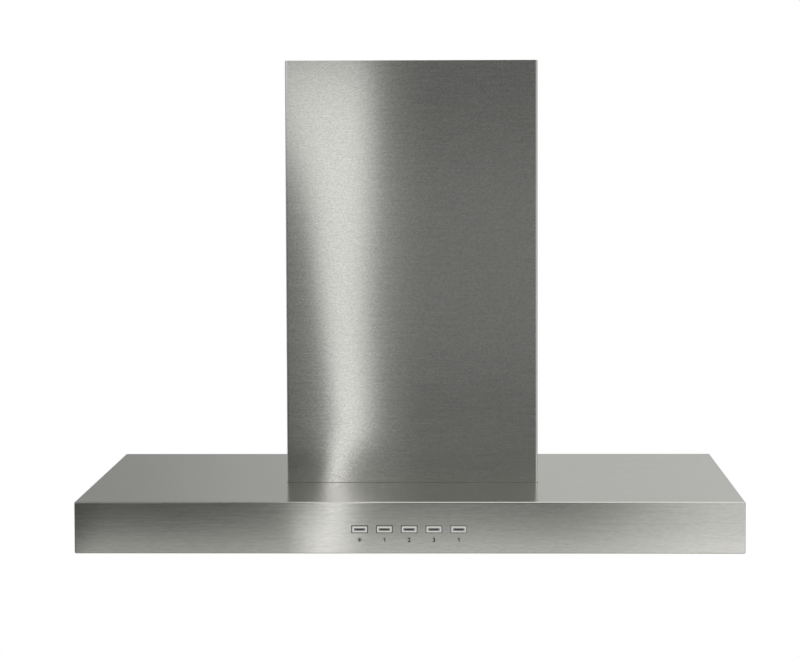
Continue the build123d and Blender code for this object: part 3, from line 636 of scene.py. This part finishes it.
class HOOD_OT_marks(bpy.types.Operator):
    """Printed figures under the buttons: a sun, 1, 2, 3 and 1"""

    bl_idname = "hood.marks"
    bl_label = "Printed figures"

    def execute(self, context):
        thickness = 0.00004
        s = context.scene.hood_marks
        ink = printed_ink("figure_ink", s.ink)
        for name, figure in zip(BUTTONS, FIGURES):
            if figure == "sun":
                mesh = sun_mark(s.height * 0.29, s.height * 0.26, s.height * 0.14, thickness)
            elif figure == "1":
                mesh = one_mark(s.height, s.height * 0.20, thickness)
            else:
                mesh = text_mark(figure, s.height, thickness)
            low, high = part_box(f"button_{name}")
            put(mesh, (low.x + high.x) / 2, FRONT_Y - thickness, (low.z + high.z) / 2 - s.drop)
            new_piece(f"figure_{name}", mesh, ink, "hood")
        return {"FINISHED"}


class HOOD_OT_filters(bpy.types.Operator):
    """Baffle filters: frames, baffles, leaf clips and knobs"""

    bl_idname = "hood.filters"
    bl_label = "Baffle filters"

    def execute(self, context):
        border = plated_metal("filter_border", (0.60, 0.60, 0.59), 0.30, 0.00002)
        baffles = plated_metal("filter_baffles", (0.64, 0.64, 0.63), 0.24, 0.00002)
        for name in FILTERS:
            dress(border, f"filter_{name}_frame")
            dress(baffles, f"filter_{name}_baffles", f"filter_{name}_clips")
            dress(plated_metal(f"knob_{name}", (0.72, 0.72, 0.70), 0.18), f"filter_{name}_knob")
        return {"FINISHED"}


class HOOD_OT_lamps(bpy.types.Operator):
    """Lamps: bezels, lenses, cans, bulbs and their transformer"""

    bl_idname = "hood.lamps"
    bl_label = "Lamps"

    def execute(self, context):
        for side in SIDES:
            low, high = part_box(f"lamp_{side}_lens")
            dress(plated_metal(f"bezel_{side}", (0.78, 0.78, 0.76), 0.2), f"lamp_{side}_bezel")
            dress(ringed_glass(f"lens_{side}", (low + high) / 2), f"lamp_{side}_lens")
            dress(galvanised_steel(f"can_{side}", (0.62, 0.63, 0.64), 0.3), f"lamp_{side}_can")
        dress(opal_glass("bulb_glass"), "lamp_bulbs")
        dress(moulded_plastic("transformer_case", (0.78, 0.77, 0.73), 0.45), "lamp_transformer")
        return {"FINISHED"}


class HOOD_OT_fan(bpy.types.Operator):
    """Fan: casing, scroll, wheel, motor, outlet collar and its flaps"""

    bl_idname = "hood.fan"
    bl_label = "Fan"

    def execute(self, context):
        casing = galvanised_steel("casing_zinc", (0.58, 0.60, 0.61), 0.34)
        scroll = galvanised_steel("scroll_zinc", (0.62, 0.63, 0.64), 0.30)
        flap = moulded_plastic("flap_plastic", (0.34, 0.35, 0.36), 0.5)
        dress(casing, "motor_casing", "canopy_back", "upper_bracket")
        dress(scroll, "scroll_wrap", "scroll_side_left", "scroll_side_right")
        dress(scroll, "impeller", "motor_bracket")
        dress(painted_metal("motor_enamel", (0.045, 0.05, 0.055), 0.4), "motor_body")
        dress(plated_metal("shaft_steel", (0.62, 0.62, 0.62), 0.2), "motor_shaft")
        dress(plated_metal("bearing_bronze", (0.50, 0.36, 0.17), 0.38), "motor_bearings")
        dress(moulded_plastic("grommet_rubber", (0.03, 0.03, 0.03), 0.75), "motor_grommets")
        dress(moulded_plastic("collar_plastic", (0.035, 0.035, 0.037), 0.48), "outlet_collar")
        dress(flap, "damper_flap_left", "damper_flap_right")
        return {"FINISHED"}


class HOOD_OT_electrics(bpy.types.Operator):
    """Junction box, gland, capacitor and the chimney's nylon glides"""

    bl_idname = "hood.electrics"
    bl_label = "Electrical and nylon pieces"

    def execute(self, context):
        dress(moulded_plastic("junction_plastic", (0.36, 0.37, 0.38), 0.5), "junction_box")
        dress(moulded_plastic("lid_plastic", (0.40, 0.41, 0.42), 0.46), "junction_lid")
        dress(moulded_plastic("gland_nylon", (0.04, 0.04, 0.042), 0.42), "cable_gland")
        dress(plated_metal("capacitor_can", (0.72, 0.73, 0.74), 0.28), "capacitor")
        dress(moulded_plastic("glide_nylon", (0.80, 0.80, 0.77), 0.45), "chimney_glides")
        return {"FINISHED"}


class HOOD_OT_fasteners(bpy.types.Operator):
    """Hexagonal screws and nuts"""

    bl_idname = "hood.fasteners"
    bl_label = "Fasteners"

    def execute(self, context):
        zinc = plated_metal("zinc_plating", (0.72, 0.71, 0.66), 0.24)
        dress(zinc, "casing_screws", "chimney_screws", "bracket_screws", "switch_nuts")
        return {"FINISHED"}


# ---- studio ----
def front_glow(f, s):
    """What the chimney's front and the upper part of the canopy's front mirror."""
    x, _, z = f.axes()
    # The dark field, a little brighter half way up.
    field = s.field + z.near(0.33, 0.10, 0.36) * 0.080 - (1.0 - x.smooth(-0.30, -0.17)) * 0.06
    # The tall soft box. Its left edge leans out and softens towards the top.
    left = -0.148 - (z - 0.07) * 0.105 - z.smooth(0.40, 0.90) * 0.15
    soft = 0.012 + z.smooth(0.30, 0.55) * 0.030
    right = -0.110 + z.smooth(-0.02, 0.08) * 0.021 + z.smooth(0.25, 0.50) * 0.009
    fall = (x - right).smooth(-0.036, 0.024) * 0.88 + (x - right).smooth(0.0, 0.090) * 0.12
    level = 1.0 - z.smooth(0.665, 0.715) * 0.92 + z.near(0.06, 0.03, 0.13) * 0.34
    box = ((x - left) / soft).smooth(-1.0, 1.0) * (1.0 - fall) * level
    foot = z.near(0.010, 0.01, 0.06) * 0.040 - z.near(0.08, 0.02, 0.08) * 0.050
    # The glow beyond the box's left edge, seen near the chimney's top.
    below = 1.0 - z.smooth(0.80, 1.00)
    wing = (1.0 - x.smooth(-0.38, -0.25)) * z.smooth(0.48, 0.62) * below * 0.85
    upper = field + box * (s.window - field) + foot * x.smooth(-0.12, -0.02) + wing
    # Below the canopy's rim the box is wider and the field fades to the left.
    low_box = x.smooth(-0.232, -0.168) * (1.0 - x.smooth(-0.152, -0.086))
    low_field = 0.055 + x.smooth(-0.42, -0.18) * 0.09 + x.smooth(-0.15, -0.03) * 0.12
    low_field = low_field - x.smooth(0.06, 0.20) * 0.07
    lower = low_field + low_box * (s.window * 0.9 - low_field)
    under = 1.0 - z.smooth(-0.06, 0.02)
    side_box = x.smooth(0.205, 0.510) * below * 0.5
    high_box = z.smooth(0.90, 1.10) * x.smooth(-0.36, -0.20) * 0.95
    return upper + under * (lower - upper) + side_box + high_box


def table_glow(f, s):
    """What the lower part of the canopy's front mirrors."""
    x, y, _ = f.axes()
    far = 0.15 + x.smooth(-0.36, -0.10) * 0.22 - x.smooth(0.02, 0.18) * 0.06
    near = 0.46 + x.smooth(-0.30, -0.02) * 0.16
    base = far + (near - far) * y.smooth(-0.58, -0.36) + x.smooth(0.18, 0.48) * 0.28
    base = base * (0.38 + x.smooth(-0.505, -0.43) * 0.62)
    lean = y.smooth(-0.52, -0.36) * 0.022
    box = (x - lean).smooth(-0.200, -0.140) * (1.0 - (x - lean * 0.3).smooth(-0.134, -0.058))
    return base + box * (s.window * (1.10 - y.smooth(-0.40, -0.30) * 0.12) - base)


def ceiling_glow(f, s):
    """The pale ceiling that the folds and upward faces mirror, dark on the left."""
    x, y, _ = f.axes()
    return 0.14 + x.smooth(-0.36, -0.20) * y.near(0.0, 1.4, 2.2) * 0.84


def back_glow(f, s):
    """What the canopy's top mirrors, paler towards the right."""
    x = f.axes()[0]
    left = x.smooth(-0.70, -0.22) * 0.10
    middle = x.smooth(-0.20, 0.15) * 0.10
    return 0.27 + left + middle + x.smooth(0.3, 0.7) * 0.03


def side_glow(f, s):
    """An upright light strip in the middle of a side wall."""
    _, y, z = f.axes()
    return 0.20 + y.near(0.1, 0.15, 0.45) * z.smooth(-0.6, 0.0) * 0.60


def under_glow(f, s):
    """A soft patch below, for views from underneath."""
    x, y, _ = f.axes()
    return 0.22 + x.near(-0.2, 0.3, 0.9) * y.near(-0.1, 0.3, 0.9) * 0.45


# Name, lowest and highest corner in metres, and what the card shows.
CARDS = (
    ("card_front", (-2.6, -0.75, -1.45), (2.6, -0.75, 3.0), front_glow),
    ("card_ceiling", (-2.6, -0.75, 2.4), (2.6, 2.5, 2.4), ceiling_glow),
    ("card_table", (-0.9, -0.62, -0.012), (0.9, -0.262, -0.012), table_glow),
    ("card_back", (-2.6, 1.4, -1.45), (2.6, 1.4, 3.0), back_glow),
    ("card_left", (-2.6, -0.75, -1.5), (-2.6, 2.5, 3.0), side_glow),
    ("card_right", (2.6, -0.75, -1.5), (2.6, 2.5, 3.0), side_glow),
    ("card_under", (-2.6, -2.5, -1.45), (2.6, 2.5, -1.45), under_glow),
)
# Name, place, target, size in metres and power in watts.
LAMPS = (
    ("lamp_key", (-1.6, -2.2, 2.2), (0.0, 0.0, 0.3), 1.4, 24),
    ("lamp_fill", (1.9, -2.0, 1.2), (0.0, 0.0, 0.3), 1.6, 14),
    ("lamp_under", (0.0, -0.9, -1.3), (0.0, 0.0, 0.0), 1.4, 4),
)
FLOOR_Z = -3.2
FLOOR_HALF = 40
CAMERA_PLACE = (0.08375, -3.51437, 0.55931)
# How far the camera looks down and to the left and how far it rolls, in radians.
CAMERA_DOWN, CAMERA_LEFT, CAMERA_ROLL = 0.0588, 0.01926, -0.00282
CAMERA_SHIFT = (-0.03, -0.06)
SENSOR_WIDTH = 36.0
FARTHEST = 120.0


def card(name, low, high, glow, s):
    """A glowing rectangle that only reflections see. glow makes its brightness."""
    first, second = [i for i in range(3) if low[i] != high[i]]
    made = bmesh.new()
    outline = []
    for a, b in ((low, low), (high, low), (high, high), (low, high)):
        corner = made.verts.new(low)
        corner.co[first], corner.co[second] = a[first], b[second]
        outline.append(corner)
    made.faces.new(outline)
    piece = link(name, finished(made, name))
    f = Finish(name)
    piece.data.materials.append(f.end(f.node("Emission", None, Color=glow(f, s), Strength=1.0)))
    piece.visible_camera = False
    piece.visible_diffuse = False
    piece.visible_shadow = False


def soft_lamp(name, place, target, size, power):
    """A square area lamp that points at a target."""
    lamp = bpy.data.lights.new(name, "AREA")
    lamp.shape = "RECTANGLE"
    lamp.size = lamp.size_y = size
    lamp.energy = power
    holder = link(name, lamp)
    holder.location = place
    aim = Vector(target) - Vector(place)
    holder.rotation_euler = aim.to_track_quat("-Z", "Y").to_euler()
    holder.visible_glossy = False


def white_rays(f):
    """1 where the camera, a mirror or glass looks, 0 for the light that falls on things."""
    rays = f.node("LightPath").socket.node.outputs
    camera, mirror, glass = [
        Signal(f, rays[f"Is {kind} Ray"]) for kind in ("Camera", "Glossy", "Transmission")
    ]
    return camera.larger(mirror.larger(glass))


def studio_floor(s):
    """A pale floor that takes the object's shadow and fades to white far away."""
    f = Finish("studio_floor")
    x, y, _ = f.axes()
    far = (x * x + y * y).smooth(4.0, 60.0)
    pale = [c * 0.98 for c in s.floor]
    plain = f.shader(f.blend(f.noise(2.0, 2.0), pale, s.floor), 0.9)
    white = f.node("Emission", None, Color=WHITE, Strength=1.0)
    material = f.end(f.node("MixShader", None, far * white_rays(f), plain, white))
    made = bmesh.new()
    bmesh.ops.create_grid(made, x_segments=1, y_segments=1, size=FLOOR_HALF)
    bmesh.ops.translate(made, verts=made.verts[:], vec=(0, 0, FLOOR_Z))
    floor = link("studio_floor", finished(made, "studio_floor"))
    floor.data.materials.append(material)


def studio_world(s):
    """White to look at, and an even soft light on things."""
    world = bpy.data.worlds.new("studio")
    bpy.context.scene.world = world
    f = Finish(world)
    light = f.node("Background", None, Color=WHITE, Strength=s.ambient)
    white = f.node("Background", None, Color=WHITE, Strength=1.0)
    f.end(f.node("MixShader", None, white_rays(f), light, white), "World")


def studio_camera(s):
    """The camera, where the photograph was taken from."""
    camera = bpy.data.cameras.new("camera")
    camera.sensor_width = SENSOR_WIDTH
    camera.lens = s.lens
    camera.shift_x, camera.shift_y = CAMERA_SHIFT
    camera.clip_end = FARTHEST
    holder = link("camera", camera)
    holder.location = CAMERA_PLACE
    turn = Euler((math.radians(90) - CAMERA_DOWN, 0.0, CAMERA_LEFT), "XYZ").to_matrix()
    roll = Matrix.Rotation(CAMERA_ROLL, 3, "Z")
    holder.rotation_euler = (turn @ roll).to_euler()
    bpy.context.scene.camera = holder


class HOOD_OT_studio(bpy.types.Operator):
    """Cards, floor, lamps, backdrop and camera"""

    bl_idname = "hood.studio"
    bl_label = "Studio"

    def execute(self, context):
        s = context.scene.hood_studio
        for name, low, high, glow in CARDS:
            card(name, low, high, glow, s)
        studio_floor(s)
        for lamp in LAMPS:
            soft_lamp(*lamp)
        studio_world(s)
        studio_camera(s)
        context.scene.view_settings.view_transform = "Standard"
        return {"FINISHED"}


OPERATORS = (
    HOOD_OT_sheets,
    HOOD_OT_buttons,
    HOOD_OT_foot_shadowline,
    HOOD_OT_marks,
    HOOD_OT_filters,
    HOOD_OT_lamps,
    HOOD_OT_fan,
    HOOD_OT_electrics,
    HOOD_OT_fasteners,
    HOOD_OT_studio,
)
SETTINGS = {"hood_finishes": HoodFinishes, "hood_marks": HoodMarks, "hood_studio": HoodStudio}


class HOOD_PT_panel(bpy.types.Panel):
    """The hood's settings and steps"""

    bl_idname = "HOOD_PT_panel"
    bl_label = "Range hood"
    bl_space_type = "VIEW_3D"
    bl_region_type = "UI"
    bl_category = "Hood"

    def draw(self, context):
        for key, group in SETTINGS.items():
            box = self.layout.box()
            for name in group.__annotations__:
                box.prop(getattr(context.scene, key), name)
        for operator in OPERATORS:
            self.layout.operator(operator.bl_idname)


CLASSES = (*SETTINGS.values(), *OPERATORS, HOOD_PT_panel)


def register():
    for group in CLASSES:
        bpy.utils.register_class(group)
    for key, group in SETTINGS.items():
        setattr(bpy.types.Scene, key, bpy.props.PointerProperty(type=group))


def unregister():
    for key in SETTINGS:
        delattr(bpy.types.Scene, key)
    for group in reversed(CLASSES):
        bpy.utils.unregister_class(group)


def main():
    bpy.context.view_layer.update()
    register()
    for operator in OPERATORS:
        family, name = operator.bl_idname.split(".")
        getattr(getattr(bpy.ops, family), name)()


if __name__ == "__main__":
    main()
